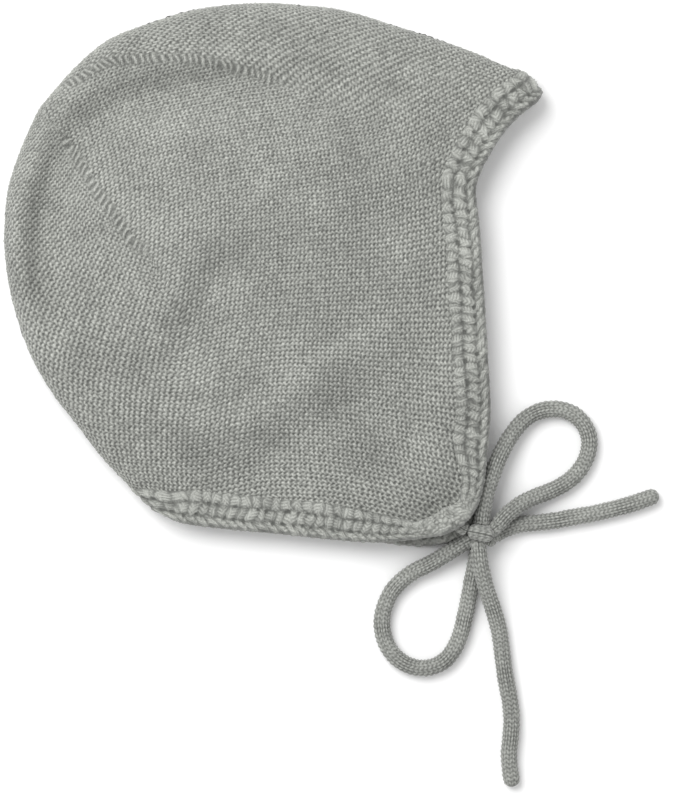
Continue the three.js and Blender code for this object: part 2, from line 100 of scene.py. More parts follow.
# Soft creases of the near layer. The cloth rises slowly to the crest along a route and falls away on
# the route's right. Route: place on the crest, and the crease's strength there. The rest is how far
# before the crest the cloth rises, how wide the fall is, how far behind it the cloth comes back, and
# how high the crest and how deep the trough are
CREASES = {
    "along the fold": {
        "route": [
            (-71, -28, 0), (-79, -14, 1.1), (-82.6, 2, 1.5), (-82.2, 20, 1.5), (-77.8, 37, 1.3),
            (-70, 49.5, 0.8), (-56.5, 59.2, 0.8), (-40, 65.5, 1.1), (-24, 68.2, 1.1), (-8, 69.4, 0.8),
            (8, 70.2, 0.5), (24, 69, 0.5), (40, 64.4, 0.45), (58, 56, 0),
        ],
        "before": 4, "fall": 9.5, "after": 19, "crest": 0.5, "trough": 4.8,
    },
    "behind the middle": {
        "route": [
            (-42, -32, 0), (-36, -14, 0.9), (-29.6, -1.6, 1), (-22, 8, 0.9), (-12.6, 16.2, 0.3),
            (-5, 20, 0),
        ],
        "before": 21, "fall": 11.5, "after": 22, "crest": 3.2, "trough": 2.4,
    },
    "over the neck": {
        "route": [
            (-49, -42, 0), (-35, -47, 0.8), (-19, -49.6, 1), (-6, -47.6, 1), (6, -38.6, 1),
            (18.6, -29.6, 1), (30, -23.6, 0.7), (46, -17, 0),
        ],
        "before": 8, "fall": 14, "after": 15, "crest": 2.3, "trough": 1.8,
    },
    "beside the tie corner": {
        "route": [
            (37, -80, 0.3), (45.4, -70, 1), (52.4, -57, 1), (58, -42, 0.7), (61, -26, 0),
        ],
        "before": 11, "fall": 11, "after": 8, "crest": 2.7, "trough": 0,
    },
}
CREASE_OVERRUN = 3.0  # how far past a route's end its crease keeps its strength
CREASE_FADE = 20.0

# Routes of the free cords, as the CAD has them
CORD_ROUTES = {
    "upper_loop": [
        (66.3, -80.2, 7.9), (66.7, -76.5, 8.6), (67.7, -71, 8.6), (69.6, -65.3, 7.7), (71.5, -60.2, 6.6),
        (74.1, -55, 5.4), (77.3, -50.2, 4.2), (80.8, -46.7, 3.3), (85, -44.5, 2.8), (89.4, -43.8, 2.7),
        (93.9, -44.5, 2.7), (97.4, -46.7, 2.7), (100, -50.2, 2.7), (101, -54.7, 2.7), (100, -59.5, 2.7),
        (97.1, -64.3, 2.7), (93, -67.8, 2.7), (87.8, -70.4, 3), (82.7, -72.3, 4.2), (77.9, -74.9, 5.8),
        (74.4, -77.7, 6.9), (71.4, -81.1, 7.5),
    ],
    "lower_loop": [
        (61.5, -86.3, 5.3), (57.8, -88.6, 4.9), (53.6, -91.2, 4.4), (49.1, -93.8, 3.7), (44.6, -96, 3.1),
        (40.8, -98.9, 2.8), (37.6, -102.4, 2.7), (35.4, -106.9, 2.7), (34.4, -111.7, 2.7),
        (35, -116.8, 2.7), (37, -121.3, 2.7), (40.5, -124.8, 2.7), (45, -126.7, 2.7), (49.8, -126.7, 2.7),
        (54.2, -124.8, 2.7), (57.4, -121, 2.7), (59.7, -115.8, 2.7), (61, -110.4, 2.7), (62.2, -105, 2.7),
        (63.2, -99.5, 2.7), (64.2, -94.4, 2.7), (65.2, -88.8, 2.7),
    ],
    "right_tail": [
        (70.9, -84, 2.7), (74.2, -82.3, 2.7), (77.6, -81.1, 2.7), (80.8, -80.6, 2.7), (84.2, -80.3, 2.7),
        (87.7, -79.9, 2.7), (91.2, -79.4, 2.7), (94.7, -78.7, 2.7), (98.4, -78.1, 2.7),
        (102.1, -77.4, 2.7), (105.8, -76.6, 2.7), (109.4, -75.7, 2.7), (113.1, -74.7, 2.7),
        (116.9, -73.5, 2.7), (120.2, -72.3, 2.7), (123.2, -71.2, 2.7),
    ],
    "lower_tail": [
        (65.4, -88.9, 8.3), (65.6, -91.9, 8.5), (66.1, -94.7, 8.3), (66.9, -98, 7.5), (67.8, -101.4, 6.4),
        (69.1, -105.1, 5.1), (70.4, -109, 3.9), (71.6, -113.2, 3.1), (72.5, -117.9, 2.7),
        (73.1, -123, 2.7), (73.8, -128.3, 2.7), (74.8, -133.8, 2.7), (75.7, -138.9, 2.7), (76, -144, 2.7),
        (75.7, -149.1, 2.7), (75.2, -154.2, 2.7), (75.4, -158.7, 2.7), (76, -162.6, 2.7),
        (76.3, -165.1, 2.7),
    ],
}

# Each cord: its length in metres and what is on its far end, as declared. Then how far its columns
# turn round it, in columns for each millimetre, and its groove: where that starts and ends along the
# cord, its place round the cord as a share of a turn, and its depth
CORD_FACTS = {
    "upper_loop": (0.107, "knot", -0.008, (22, 62, 0.97, 0.55)),
    "lower_loop": (0.107, "knot", 0.012, (4, 52, 0.06, 0.85)),
    "right_tail": (0.054, "bare", -0.008, (3, 30, 0, 0.7)),
    "lower_tail": (0.078, "bare", -0.008, (28, 60, 0.93, 0.5)),
}

# Short cords that meet in the knot: route from the knot's middle, and diameter
KNOT_TUBES = {
    "wrap": ([(-3.7, 1.5, 2.8), (-2, 1.3, 3.8), (0, 0.9, 4.3), (2, 0.4, 4), (3.6, -0.3, 2.8)], 5.2),
    "under_wrap": ([(3.5, -0.5, 2), (3.3, -1.6, 1.6), (2.6, -2.6, 0.6)], 4.6),
    "upper_start": ([(0.9, 6.6, 2.1), (0.6, 4.2, 1.7), (0.2, 1.6, 0.9), (0, -0.6, 0)], 5.1),
    "upper_end": ([(7.2, 4.8, 1.2), (5.4, 3.1, 1.3), (3.2, 1.4, 0.9), (1.2, 0.2, 0.2)], 4.8),
    "right_start": ([(7.4, 1.3, -3.4), (5, 0.4, -3.2), (2.6, -0.1, -1.8), (0.6, -0.2, -0.4)], 5),
    "lower_start": ([(-0.3, -6.2, 2.2), (-0.5, -4, 1.9), (-0.4, -1.8, 1.4), (-0.2, 0.4, 0.6)], 5.1),
    "loop_start": ([(-6, -3, -1), (-4, -1.8, -0.7), (-2, -0.8, -0.2), (-0.2, 0, 0.2)], 5.1),
    "loop_end": ([(-0.9, -6, -3.5), (-0.5, -3.8, -3.2), (-0.2, -1.6, -2.2), (0, 0.4, -1)], 5),
}

# The start of the tie, from the near corner to the knot, and how far it is drawn in there
LEAD_ROUTE = [(55.6, -77.4, 10.6), (57.4, -79.6, 10.4), (59.2, -81.4, 9.8), (61.2, -82.6, 9.2)]
LEAD_TIGHTNESS = 0.86

# Camera: the place that it looks at, how high its picture is at the plane VIEW_PLANE, and its height
VIEW_MIDDLE = (20.96, -42.24)
VIEW_HEIGHT = 258.6
VIEW_PLANE = 8.0
CAMERA_DISTANCE = 2000.0
SENSOR = 36.0

# Stitches of the cords: columns round them, pitch, slant of a stitch's two legs, and relief, which is
# less where the ties are drawn tight. Then how finely the cords are divided
CORD_WALES = 8
CORD_STITCH = 1.45
CORD_SLANT = 1.15
CORD_RELIEF = 0.55
TIGHT_RELIEF = 0.36
CORD_SPACING = 0.33
CORD_AROUND = 48
TIGHT_AROUND = 36
GROOVE_WIDTH = 0.055  # share of a turn
GROOVE_FADE = 5.0

# Directions of the knit at spots of each panel, in degrees: place, then the way across the columns and
# their pitch, then the way across the rows and their pitch
PANEL_SPOTS = {
    "main": [
        (-3, 2, 6, 1.32, 100, 1.26), (40, 7, 3, 1.26, 90, 1.40), (47, -25, 2, 1.25, 90, 1.48),
        (8, -47, 0, 1.41, 90, 1.30), (-8, -60, 3, 1.45, 90, 1.28), (-24, 23, 24, 1.29, 101, 1.19),
        (-24, 45, 22, 1.35, 100, 1.16), (8, 39, 23, 1.40, 98, 1.08), (47, 49, 24, 1.23, 116, 1.46),
        (-56, 36, 30, 1.49, 122, 1.07), (-43, 55, 20, 1.52, 112, 1.14), (-33, 58, 14, 1.47, 103, 1.13),
        (-14, 58, 9, 1.44, 93, 1.05), (-59, 55, 25, 1.65, 123, 1.08), (-67, 51, 26, 1.61, 124, 1.09),
    ],
    "back": [
        (8, -47, 0, 1.41, 90, 1.30), (-8, -60, 3, 1.45, 90, 1.28), (-40, -41, -1, 1.52, 86, 1.22),
        (-59, -19, -14, 1.41, 67, 1.24), (-69, 1, -27, 1.26, 49, 1.32), (-46, -9, -15, 1.36, 74, 1.10),
        (-62, 20, -46, 1.10, 38, 1.50), (-53, 10, -37, 1.07, 43, 1.30), (-71, 39, -56, 1.11, 25, 1.56),
        (-75, 26, -46, 1.12, 30, 1.48), (-78, 10, -33, 1.17, 40, 1.38), (-78, -9, -24, 1.48, 55, 1.44),
        (-73, -22, -14, 1.50, 64, 1.38), (-65, -38, -10, 1.65, 75, 1.54), (-53, -54, -2, 1.67, 88, 1.56),
    ],
    "top": [
        (-53, 66, 88, 1.42, 160, 1.50), (-46, 70, 82, 1.34, 153, 1.46), (-35, 76, 75, 1.26, 139, 1.37),
        (-24, 75, 66, 1.28, 137, 1.35), (-8, 78, 60, 1.21, 127, 1.30), (8, 73, 47, 1.19, 122, 1.43),
        (18, 76, 43, 1.20, 118, 1.41), (34, 68, 36, 1.26, 120, 1.47), (53, 60, 25, 1.28, 119, 1.49),
        (63, 60, 22, 1.37, 120, 1.36), (47, 49, 24, 1.23, 116, 1.46),
    ],
}

# Where two panels run on into each other, with no line between them
PANEL_JOINTS = [
    ("main", "back", [(-37, -2), (-35, -12), (-30, -25), (-27, -40), (-24, -55), (-20, -70), (-18, -84)]),
    ("main", "top", [(5, 58), (15, 55), (25, 53), (36, 51), (48, 48), (60, 47)]),
]

# The two lines along which the knit was shaped
SHAPING_LINES = {
    "crown": [(-68.6, 58.2), (-60.6, 62.7), (-51.7, 66.9), (-39.2, 67.8), (-29.0, 67.8), (-18.4, 66.2),
              (-9.4, 64.0), (2.7, 59.8)],
    "back": [(-68.6, 45.4), (-67.0, 42.6), (-61.6, 33.6), (-55.8, 24.6), (-50.4, 17.0), (-46.2, 10.6),
             (-38.9, 4.5)],
}
SHAPING_PITCH = 2.2
SHAPING_SPREAD = 1.8
SHAPING_SLANT = 0.16
SHAPING_RISE = 0.75
SHAPING_BOX = (45.0, 35.0)  # no ridge lies further than this from the middle of its line
SHAPING_SAMPLES = 120

# Past its ends a shaping line runs on by these steps, only to tell the panels apart. How softly the
# panels meet across it, and how much more softly for each millimetre past its end
CROWN_RUN_ON = [(25, -11), (80, -33)]
BACK_RUN_ON = [(9, -20), (15, -50), (21, -90)]
BACK_RUN_OUT = (-12, 13)
PANEL_BLUR = 0.8
PANEL_BLUR_GROWTH = 0.5

# How the panels' counts are fitted: weight of the spots' directions, of calm in the highest terms and
# of the joints
SPOT_WEIGHT = 10
CALM_WEIGHT = 0.02
JOINT_WEIGHT = 5

# Relief of the knit: strength of its columns and rows, strength and shift of the two slanting legs of
# each stitch, how far the columns sway from row to row, and the strength of every other stitch
STITCH_RELIEF = 0.52
COLUMN_STRENGTH = 0.21
ROW_STRENGTH = 0.195
LEG_STRENGTHS = (0.135, 0.142)
LEG_SHIFTS = (2.1, -0.16)
ROW_SWAY = 0.3
WEAK_STITCH = 0.84

# How far the stitches stray from their columns and rows, in stitches, over what reach, and seed
STRAYING = [(0.12, 5.0, 1), (0.13, 1.2, 5)]

# Strength and reach of the yarn's unevenness, and of the cloth's
YARN_NOISE = (0.17, 0.55)
CLOTH_NOISE = (0.28, 9.0)

# The knit goes on under the border, by KNIT_OVERLAP, and lower there by KNIT_SINK
KNIT_OVERLAP = 1.4
KNIT_SINK = 0.5

# How finely the near and far layers are divided
NEAR_GRID = (580, 515)
FAR_GRID = (160, 136)
INNER_GRID = (110, 96)
GRID_LENGTHS = (125.0, 120.0)  # of the two families of grid lines, roughly
BACK_CORNER = 0.44  # share of the fold where the two families of grid lines meet

# Rows of the border: middle and reach across it, pitch, height and slant. Pits lie between the rows:
# place across the border and pitch
BORDER_ROWS = [(2.0, 2.3, 3.3, 1.0, 0.1), (6.2, 2.4, 3.1, 0.95, -0.25), (9.8, 1.7, 3.2, 0.95, 1.2)]
BORDER_PITS = [(4.1, 3.2), (8.4, 3.1)]
BORDER_RELIEF = 0.95
BORDER_SPACING = 0.3
FAR_BORDER_SPACING = 0.4
BORDER_ACROSS = 44
BORDER_UNDER = 20
STRAND_PITCH = 0.95
TUFT_PITCH = 1.6
TUFT_ROW = 1.35

# How high the knit and the border stay above the surface
CLEARANCE = 0.02

# The floor, in metres, and the light of the whole room
FLOOR_HALF = 1.5
FLOOR_DROP = 0.0001
WORLD_STRENGTH = 0.76


# Curves

def centripetal(points, per_span=48):
    """A smooth line through points, with even spans between them; gives places by row and points."""
    points = np.asarray(points, dtype=float)
    padded = np.vstack([2 * points[0] - points[1], points, 2 * points[-1] - points[-2]])
    rows, places = [], []
    for i in range(len(points) - 1):
        p0, p1, p2, p3 = padded[i:i + 4]
        d0, d1, d2 = (np.sqrt(np.linalg.norm(b - a)) for a, b in ((p0, p1), (p1, p2), (p2, p3)))
        t1 = ((p1 - p0) / d0 - (p2 - p0) / (d0 + d1) + (p2 - p1) / d1) * d1
        t2 = ((p2 - p1) / d1 - (p3 - p1) / (d1 + d2) + (p3 - p2) / d2) * d1
        t = np.arange(per_span)[:, None] / per_span
        squared, cubed = 3 * (p2 - p1) - 2 * t1 - t2, 2 * (p1 - p2) + t1 + t2
        places.append(p1 + t1 * t + squared * t**2 + cubed * t**3)
        rows.append(i + t[:, 0])
    return np.append(np.concatenate(rows), len(points) - 1), np.vstack([*places, points[-1]])


def line_run(line):
    """Length of a line up to each of its points."""
    return np.concatenate([[0], np.cumsum(np.linalg.norm(np.diff(line, axis=0), axis=1))])


def smooth(value):
    """Goes softly from 0 to 1."""
    value = np.clip(value, 0, 1)
    return value**2 * (3 - 2 * value)


def quarter_arc(value):
    """Goes from 0 to 1 as a quarter of a circle does, steep at the start."""
    return np.sqrt(1 - (1 - np.clip(value, 0, 1)) ** 2)


class FlatLine:
    """A smooth line in the flat, read by share of its length."""

    SAMPLES = 420

    def __init__(self, rows):
        table = np.array(rows, dtype=float)
        flat = (table[:, :2] - 0.5) * (BONNET_LENGTH, BONNET_HEIGHT)
        self.rows, self.points = centripetal(flat)
        self.values = table[:, 2:]
        run = line_run(self.points)
        self.length = run[-1]
        self.shares = run / self.length
        self.samples = self.at(np.linspace(0, 1, self.SAMPLES + 1))

    def at(self, share):
        return np.stack([np.interp(share, self.shares, self.points[:, k]) for k in (0, 1)], axis=-1)

    def inward(self, share):
        """To the right of the line: into the cloth at its open edge, and out of it at the fold."""
        step = 0.002
        run = self.at(np.clip(share + step, 0, 1)) - self.at(np.clip(share - step, 0, 1))
        run /= np.linalg.norm(run, axis=-1, keepdims=True)
        return np.stack([run[..., 1], -run[..., 0]], axis=-1)

    def column(self, index, share):
        row = np.interp(share, self.shares, self.rows)
        return np.interp(row, np.arange(len(self.values)), self.values[:, index])

    def nearest(self, points, start=0.0, end=1.0):
        """Distance to the line between two shares of it, and the share at the nearest place."""
        first, last = math.floor(start * self.SAMPLES), math.ceil(end * self.SAMPLES)
        line = self.samples[first:last + 1]
        flat = points.reshape(-1, 2)
        distance = np.empty(len(flat))
        share = np.empty(len(flat))
        for k in range(0, len(flat), 20000):
            part = flat[k:k + 20000]
            squares = (line**2).sum(axis=1) - 2 * part @ line.T
            closest = squares.argmin(axis=1)
            best = np.full(len(part), np.inf)
            where = np.zeros(len(part))
            for begin in (np.clip(closest - 1, 0, len(line) - 2), np.clip(closest, 0, len(line) - 2)):
                a, run = line[begin], line[begin + 1] - line[begin]
                along = np.clip(((part - a) * run).sum(axis=1) / (run**2).sum(axis=1), 0, 1)
                far = np.linalg.norm(part - a - along[:, None] * run, axis=1)
                closer = far < best
                best = np.where(closer, far, best)
                where = np.where(closer, (first + begin + along) / self.SAMPLES, where)
            distance[k:k + 20000], share[k:k + 20000] = best, where
        return distance.reshape(points.shape[:-1]), share.reshape(points.shape[:-1])


fold = FlatLine(FOLD_ROWS)
far_edge_rows = [FAR_CORNER_ROWS.get(i, row) for i, row in enumerate(NEAR_EDGE_ROWS)]
open_edge = {"near": FlatLine(NEAR_EDGE_ROWS), "far": FlatLine(far_edge_rows)}
DROP, WIDTH, ROLL = 0, 1, 2  # columns of an open edge's values


# The shaping lines

crown_line = centripetal(SHAPING_LINES["crown"])[1]
back_line = centripetal(SHAPING_LINES["back"])[1]


def above_crown_line(points):
    line = np.vstack([crown_line, crown_line[-1] + np.array(CROWN_RUN_ON)])
    return points[..., 1] - np.interp(points[..., 0], line[:, 0], line[:, 1])


def behind_back_line(points):
    out, on = back_line[0] + np.array(BACK_RUN_OUT), back_line[-1] + np.array(BACK_RUN_ON)
    line = np.vstack([out, back_line, on])[::-1]
    return np.interp(points[..., 1], line[:, 1], line[:, 0]) - points[..., 0]


# Surfaces

def crease_rise(points):
    """How far the creases lift or lower the cloth."""
    total = np.zeros(points.shape[:-1])
    flat = points.reshape(-1, 2)
    for crease in CREASES.values():
        crest, trough = crease["crest"], crease["trough"]
        route = np.array(crease["route"])
        rows, line = centripetal(route[:, :2], per_span=8)
        strength = np.interp(rows, np.arange(len(route)), route[:, 2])
        way = np.gradient(line, axis=0)
        way /= np.linalg.norm(way, axis=1, keepdims=True)
        squares = (flat**2).sum(axis=1)[:, None] - 2 * flat @ line.T + (line**2).sum(axis=1)
        closest = squares.argmin(axis=1)
        offset = flat - line[closest]
        right = offset[:, 0] * way[closest, 1] - offset[:, 1] * way[closest, 0]
        beyond = np.abs((offset * way[closest]).sum(axis=1))
        rise = crest * (1 - smooth(-right / crease["before"]))
        rise = rise - (crest + trough) * smooth(right / crease["fall"])
        rise = rise + trough * smooth((right - crease["fall"]) / crease["after"])
        rise = rise * strength[closest] * (1 - smooth((beyond - CREASE_OVERRUN) / CREASE_FADE))
        total += rise.reshape(total.shape)
    return total


def roll_radius(reach):
    """Mean radius of the rounded edge beside the fold."""
    return (reach + FOLD_HEIGHT * FOLD_ARC) / 2


class Surface:
    """A layer over points in the flat: its places, its outward directions and its unrolled places."""

    def __init__(self, side, points):
        from_fold, fold_share = fold.nearest(points)
        outward = fold.inward(fold_share)
        if side == "near":
            line = open_edge["near"]
            roll = quarter_arc(from_fold / NEAR_ROLL)
            from_face = line.nearest(points, 0, CORNER_SHARE)[0]
            from_neck = line.nearest(points, CORNER_SHARE, 1)[0]
            puff = smooth(from_fold / PUFF_REACH)
            puff = puff * smooth(from_face / PUFF_REACH) * smooth(from_neck / PUFF_REACH)
            from_edge, edge_share = line.nearest(points)
            drop = EDGE_DROP * line.column(DROP, edge_share) * (1 - smooth(from_edge / EDGE_REACH))
            rise = NEAR_RISE - drop + crease_rise(points)
            height = FOLD_HEIGHT + rise * roll + PUFF_RISE * puff
            reach, way = NEAR_ROLL, 1.0
            angle = np.arccos(np.clip(1 - from_fold / reach, 0, 1))
            arc = (math.pi / 2 - angle) * roll_radius(reach)
            extra = np.maximum(arc - np.maximum(reach - from_fold, 0), 0)
        else:
            roll = quarter_arc(from_fold / FAR_ROLL)
            rise = np.full(from_fold.shape, FOLD_HEIGHT)
            height = FOLD_HEIGHT * (1 - roll)
            reach, way = FAR_ROLL, -1.0
            extra = 2 * from_fold
        lean = np.sqrt(1 - roll**2) * rise / reach
        normals = np.concatenate([outward * lean[..., None], way * roll[..., None]], axis=-1)
        normals /= np.linalg.norm(normals, axis=-1, keepdims=True) + 1e-9
        self.places = np.concatenate([points, height[..., None]], axis=-1)
        self.normals = normals
        self.unrolled = points + outward * extra[..., None]


def fold_crossing(width, at_neck):
    """Share of the fold at which a line at a width inside the open edge crosses it."""
    return np.where(at_neck, 1 - width / fold.length, width / fold.length)


def inside_edge(side, share, width):
    """A point in the flat at a distance inside the open edge, turning to lie along the fold."""
    line = open_edge[side]
    edge = line.at(share)
    square = edge + line.inward(share) * np.asarray(width)[..., None]
    at_neck = share > 0.5
    end = line.at(np.where(at_neck, 1.0, 0.0))
    shifted = fold.at(fold_crossing(width, at_neck)) + edge - end
    turn = smooth(np.where(at_neck, 1 - share, share) / FAN_SHARE)[..., None]
    return shifted * (1 - turn) + square * turn


def border_width(side, share):
    return EDGING_WIDTH * open_edge[side].column(WIDTH, share)


# Noise that is the same in every run

SCATTER_FACTORS = (12.9898, 78.233, 37.719)
SCATTER_SCALE = 43758.5453


def scatter(*keys):
    """A number from 0 to 1 for each set of whole numbers."""
    value = np.zeros(np.broadcast(*keys).shape)
    for key, factor in zip(keys, SCATTER_FACTORS):
        value = value + np.asarray(key) * factor
    return np.mod(np.sin(value) * SCATTER_SCALE, 1.0)


def wander(x, y, reach, seed):
    """Soft noise from -1 to 1 that changes over the given reach."""
    x, y = x / reach, y / reach
    i, j = np.floor(x), np.floor(y)
    u, v = smooth(x - i), smooth(y - j)
    corners = [scatter(i + a, j + b, seed) for a in (0, 1) for b in (0, 1)]
    low = corners[0] * (1 - v) + corners[1] * v
    high = corners[2] * (1 - v) + corners[3] * v
    return 2 * (low * (1 - u) + high * u) - 1


# The knit's own coordinates, counted in columns and rows

BASIS_REACH = 60.0
TERMS = 10
FIRST_CUBIC = 6


def basis(x, y):
    """Terms of a cubic in two coordinates."""
    x, y = x / BASIS_REACH, y / BASIS_REACH
    one = np.ones_like(x)
    return np.stack([one, x, y, x * x, x * y, y * y, x**3, x * x * y, x * y * y, y**3], axis=-1)


def basis_slopes(x, y):
    """How the terms change along each coordinate."""
    x, y = x / BASIS_REACH, y / BASIS_REACH
    one, none = np.ones_like(x), np.zeros_like(x)
    along_x = [none, one, none, 2 * x, y, none, 3 * x * x, 2 * x * y, y * y, none]
    along_y = [none, none, one, none, x, 2 * y, none, x * x, 2 * x * y, 3 * y * y]
    return np.stack(along_x, axis=-1) / BASIS_REACH, np.stack(along_y, axis=-1) / BASIS_REACH


def fit_panels():
    """Weights of each panel's counts of columns and rows that have the spots' directions and pitches."""
    names = list(PANEL_SPOTS)

    def in_place(name, part):
        """A panel's terms in their place among the terms of all panels."""
        return np.hstack([part if other == name else np.zeros_like(part) for other in names])

    fitted = []
    for angle, pitch in ((2, 3), (4, 5)):
        sums, wanted = [], []
        for name in names:
            spots = np.array(PANEL_SPOTS[name], dtype=float)
            turn = np.radians(spots[:, angle])
            ways = (np.cos(turn), np.sin(turn))
            for slopes, way in zip(basis_slopes(spots[:, 0], spots[:, 1]), ways):
                sums.append(in_place(name, slopes * SPOT_WEIGHT))
                wanted.append(way / spots[:, pitch] * SPOT_WEIGHT)
            calm = np.eye(TERMS)[FIRST_CUBIC:] * CALM_WEIGHT
            sums.append(in_place(name, calm))
            wanted.append(np.zeros(len(calm)))
        for first, second, places in PANEL_JOINTS:
            at = basis(*np.array(places, dtype=float).T) * JOINT_WEIGHT
            sums.append(in_place(first, at) - in_place(second, at))
            wanted.append(np.zeros(len(places)))
        found = np.linalg.lstsq(np.vstack(sums), np.concatenate(wanted), rcond=None)[0]
        fitted.append(found.reshape(len(names), TERMS))
    return {name: np.stack([axis[k] for axis in fitted]) for k, name in enumerate(names)}


panels = fit_panels()


def stitch_counts(points):
    """Columns and rows counted over the unrolled cloth."""
    terms = basis(points[..., 0], points[..., 1])
    counts = {name: terms @ weights.T for name, weights in panels.items()}
    past_crown = np.maximum(points[..., 0] - crown_line[-1, 0], 0)
    past_back = np.maximum(back_line[-1, 1] - points[..., 1], 0)
    crown_blur = PANEL_BLUR + past_crown * PANEL_BLUR_GROWTH
    back_blur = PANEL_BLUR + past_back * PANEL_BLUR_GROWTH
    top = smooth(above_crown_line(points) / crown_blur + 0.5)[..., None]
    back = smooth(behind_back_line(points) / back_blur + 0.5)[..., None]
    rest = counts["main"] * (1 - back) + counts["back"] * back
    return rest * (1 - top) + counts["top"] * top


def stitch_height(counts, grooves=0.0):
    """Relief of the stitches, from 0 in the gaps to about 1. Grooves make the columns stand out."""
    p, q = counts[..., 0], counts[..., 1]
    row = np.floor(q)
    p = p + (q - row - 0.5) * ROW_SWAY * np.where(np.mod(row, 2) < 1, 1, -1)
    column = np.floor(p)
    x, y = 2 * np.pi * (p - 0.5), 2 * np.pi * (q - 0.5)
    waves = (COLUMN_STRENGTH + grooves) * np.cos(x) + (ROW_STRENGTH - grooves) * np.cos(y)
    for strength, shift, way in zip(LEG_STRENGTHS, LEG_SHIFTS, (-1, 1)):
        waves = waves + strength * np.cos(x + way * y + shift)
    strong = np.where(np.mod(row + column, 2) < 1, 1.0, WEAK_STITCH)
    edge = np.cos(np.pi * (p - column - 0.5)) * np.cos(np.pi * (q - row - 0.5))
    lively = 1 + edge * (strong * (0.82 + 0.4 * scatter(row, column, 3)) - 1)
    return np.clip((0.5 + waves) * lively, 0, 1.2)


# Meshes

def mesh_object(name, points, quads, uv, relief):
    """A smooth-shaded object from points in millimetres and rows of four corner numbers."""
    mesh = bpy.data.meshes.new(name)
    mesh.vertices.add(len(points))
    mesh.vertices.foreach_set("co", (points * MM).astype(np.float32).ravel())
    mesh.loops.add(quads.size)
    mesh.loops.foreach_set("vertex_index", quads.astype(np.int32).ravel())
    mesh.polygons.add(len(quads))
    mesh.polygons.foreach_set("loop_start", np.arange(0, quads.size, 4, dtype=np.int32))
    mesh.update(calc_edges=True)
    mesh.validate()
    mesh.polygons.foreach_set("use_smooth", np.ones(len(mesh.polygons), dtype=bool))
    layer = mesh.uv_layers.new(name="stitches")
    corner = np.empty(len(mesh.loops), dtype=np.int32)
    mesh.loops.foreach_get("vertex_index", corner)
    layer.data.foreach_set("uv", uv[corner].astype(np.float32).ravel())
    # the relief also sets the painted shade in the gaps, through the yarn materials
    attribute = mesh.attributes.new("relief", "FLOAT", "POINT")
    attribute.data.foreach_set("value", relief.astype(np.float32))
    thing = bpy.data.objects.new(name, mesh)
    bpy.context.collection.objects.link(thing)
    return thing


def grid_quads(rows, columns, closed=False, flip=False):
    """Faces of a grid of points, joined up from its last column to its first if closed."""
    i = np.arange(rows - 1)[:, None]
    j = np.arange(columns if closed else columns - 1)[None, :]
    beside = (j + 1) % columns
    corners = [i * columns + j, i * columns + beside, (i + 1) * columns + beside, (i + 1) * columns + j]
    if flip:
        corners = corners[::-1]
    return np.stack([np.broadcast_to(c, (rows - 1, j.shape[1])) for c in corners], axis=-1).reshape(-1, 4)


def finish_piece(thing, nodes, material):
    """Gives a piece its material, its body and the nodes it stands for."""
    thing.data.materials.append(material)
    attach(thing, "root")
    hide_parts(*nodes)
    return thing


# Materials

def yarn_material(name, colour, painted_gap_shade_colour, painted_gap_shade_span, fibre_scale, fleck):
    """Matt yarn: painted shade in the gaps between its stitches, lightly clouded and flecked, with fine
    fibres.
    """
    material = bpy.data.materials.new(name)
    material.use_nodes = True
    tree = material.node_tree
    nodes, links = tree.nodes, tree.links
    shader = nodes["Principled BSDF"]
    shader.inputs["Roughness"].default_value = 0.92
    shader.inputs["Specular IOR Level"].default_value = 0.18
    shader.inputs["Sheen Weight"].default_value = 0.22
    shader.inputs["Sheen Roughness"].default_value = 0.55

    relief = nodes.new("ShaderNodeAttribute")
    relief.attribute_name = "relief"
    place = nodes.new("ShaderNodeTexCoord")

    def noise(scale, detail, distortion=0):
        texture = nodes.new("ShaderNodeTexNoise")
        texture.inputs["Scale"].default_value = scale
        texture.inputs["Detail"].default_value = detail
        texture.inputs["Distortion"].default_value = distortion
        links.new(place.outputs["Object"], texture.inputs["Vector"])
        return texture.outputs["Fac"]

    # painted shade: where the relief is low, in the gaps between stitches, the yarn is coloured darker
    painted_gap_shade_mask = nodes.new("ShaderNodeMapRange")
    painted_gap_shade_mask.inputs["From Min"].default_value = painted_gap_shade_span[0]
    painted_gap_shade_mask.inputs["From Max"].default_value = painted_gap_shade_span[1]
    painted_gap_shade_mask.interpolation_type = "SMOOTHSTEP"
    links.new(relief.outputs["Fac"], painted_gap_shade_mask.inputs["Value"])

    wool = nodes.new("ShaderNodeMix")
    wool.data_type = "RGBA"
    wool.inputs["A"].default_value = (*painted_gap_shade_colour, 1)
    wool.inputs["B"].default_value = (*colour, 1)
    links.new(painted_gap_shade_mask.outputs["Result"], wool.inputs["Factor"])

    both = nodes.new("ShaderNodeMath")
    both.operation = "MULTIPLY_ADD"
    both.inputs[1].default_value = 0.35
    links.new(noise(55, 2), both.inputs[0])
    links.new(noise(2300, 3), both.inputs[2])
    value = nodes.new("ShaderNodeMapRange")
    value.inputs["From Min"].default_value = 0.4
    value.inputs["From Max"].default_value = 0.95
    value.inputs["To Min"].default_value = 1 - fleck
    value.inputs["To Max"].default_value = 1 + fleck
    links.new(both.outputs["Value"], value.inputs["Value"])
    tint = nodes.new("ShaderNodeHueSaturation")
    links.new(wool.outputs["Result"], tint.inputs["Color"])
    links.new(value.outputs["Result"], tint.inputs["Value"])
    links.new(tint.outputs["Color"], shader.inputs["Base Color"])

    bump = nodes.new("ShaderNodeBump")
    bump.inputs["Strength"].default_value = 0.85
    bump.inputs["Distance"].default_value = 0.00022
    links.new(noise(fibre_scale, 5, 0.6), bump.inputs["Height"])
    links.new(bump.outputs["Normal"], shader.inputs["Normal"])
    return material


def plain_material(name, colour):
    material = bpy.data.materials.new(name)
    material.use_nodes = True
    shader = material.node_tree.nodes["Principled BSDF"]
    shader.inputs["Base Color"].default_value = (*colour, 1)
    shader.inputs["Roughness"].default_value = 0.85
    shader.inputs["Specular IOR Level"].default_value = 0.1
    return material
